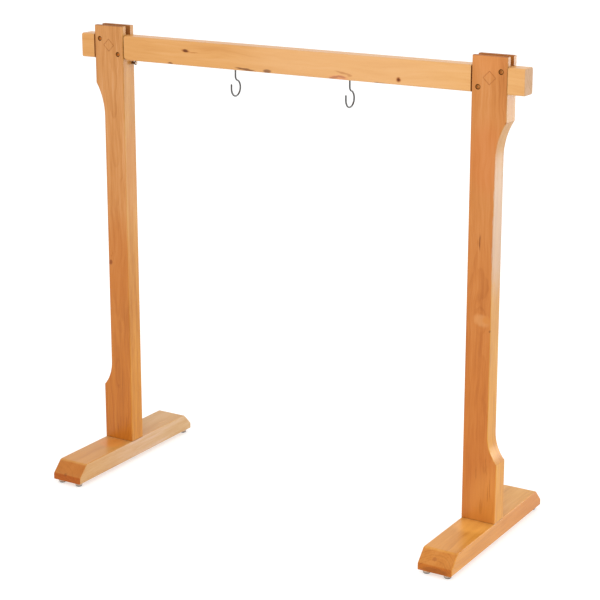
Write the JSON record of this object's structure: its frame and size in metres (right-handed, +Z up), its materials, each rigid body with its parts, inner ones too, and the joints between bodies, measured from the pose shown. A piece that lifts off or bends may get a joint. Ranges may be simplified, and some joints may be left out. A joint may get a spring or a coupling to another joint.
{
  "type": "gong stand",
  "caption": "Free-standing wooden stand for a hanging gong: two forked posts on long feet carry a crossbar with steel screw hooks.",
  "frame": {"origin": "centre of the footprint, on the floor under the feet", "axes": "+X along the crossbar to the right as seen from the front, +Y from the front to the back, +Z up"},
  "size_m": [1.127, 0.454, 1.064],
  "materials": {
    "post_wood": "oiled and varnished, satin",
    "bar_wood": "oiled and varnished, satin",
    "foot_wood": "oiled and varnished, satin",
    "dowel_wood": "raw beech",
    "hook_steel": "dark plated wire, smooth",
    "peg_steel": "plated, yellowed",
    "sleeve_rubber": "dark brown, matt",
    "fork_bolt_steel": "bronzed, dark towards the rim",
    "bolt_steel": "bronzed, dulled",
    "nut_steel": "zinc plated",
    "insert_brass": "turned",
    "bumper_rubber": "clear grey soft polymer"
  },
  "bodies": {
    "stand": {"left_post": "post_wood", "left_foot": "foot_wood", "left_foot_dowel": "dowel_wood", "left_foot_bolts": "bolt_steel", "left_foot_washers": "bolt_steel", "left_barrel_nuts": "nut_steel", "left_upper_fork_bolt": "fork_bolt_steel", "left_upper_insert": "insert_brass", "left_lower_fork_bolt": "fork_bolt_steel", "left_lower_insert": "insert_brass", "left_front_outer_bumper": "bumper_rubber", "left_front_inner_bumper": "bumper_rubber", "left_back_outer_bumper": "bumper_rubber", "left_back_inner_bumper": "bumper_rubber", "right_post": "post_wood", "right_foot": "foot_wood", "right_foot_dowel": "dowel_wood", "right_foot_bolts": "bolt_steel", "right_foot_washers": "bolt_steel", "right_barrel_nuts": "nut_steel", "right_upper_fork_bolt": "fork_bolt_steel", "right_upper_insert": "insert_brass", "right_lower_fork_bolt": "fork_bolt_steel", "right_lower_insert": "insert_brass", "right_front_outer_bumper": "bumper_rubber", "right_front_inner_bumper": "bumper_rubber", "right_back_outer_bumper": "bumper_rubber", "right_back_inner_bumper": "bumper_rubber", "crossbar": "bar_wood", "mallet_peg": "peg_steel", "mallet_peg_sleeve": "sleeve_rubber"},
    "left_hook": {"left_gong_hook": "hook_steel"},
    "right_hook": {"right_gong_hook": "hook_steel"}
  },
  "joints": [
    {"name": "left_hook_turn", "type": "hinge", "parent": "stand", "child": "left_hook", "pos_m": [-0.147, -0.002, 0.987], "axis": [0, 0, 1], "range_deg": [-90, 90]},
    {"name": "right_hook_turn", "type": "hinge", "parent": "stand", "child": "right_hook", "pos_m": [0.147, -0.002, 0.987], "axis": [0, 0, 1], "range_deg": [-90, 90]}
  ]
}
